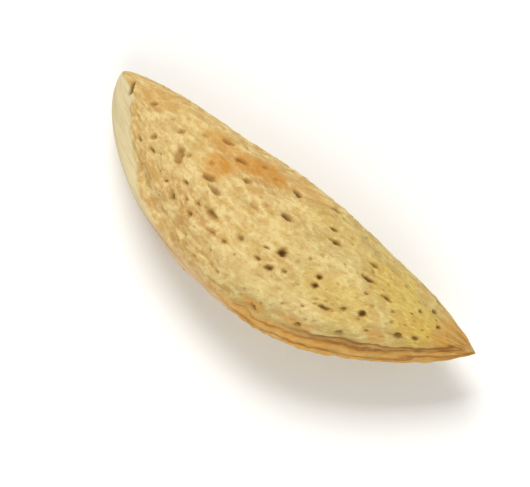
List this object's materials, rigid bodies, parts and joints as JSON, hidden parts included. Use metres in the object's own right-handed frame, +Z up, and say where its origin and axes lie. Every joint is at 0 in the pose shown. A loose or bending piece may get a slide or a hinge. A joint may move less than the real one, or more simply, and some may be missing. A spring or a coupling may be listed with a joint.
{
  "type": "almond",
  "caption": "Almond in its closed shell, lying on a broad face: bowed edge with a keel, straighter back, blunt stem end and a sharp point, pitted all over.",
  "frame": {"origin": "on the surface that the almond lies on, under the middle of its length and width", "axes": "+X from the stem end to the point, +Y from the keeled edge to the straighter back edge, +Z up across the two broad faces"},
  "size_m": [0.038, 0.0126, 0.0095],
  "materials": {
    "shell": "dry, matt, fibrous shell"
  },
  "bodies": {
    "root": {"almond": "shell"}
  },
  "joints": []
}
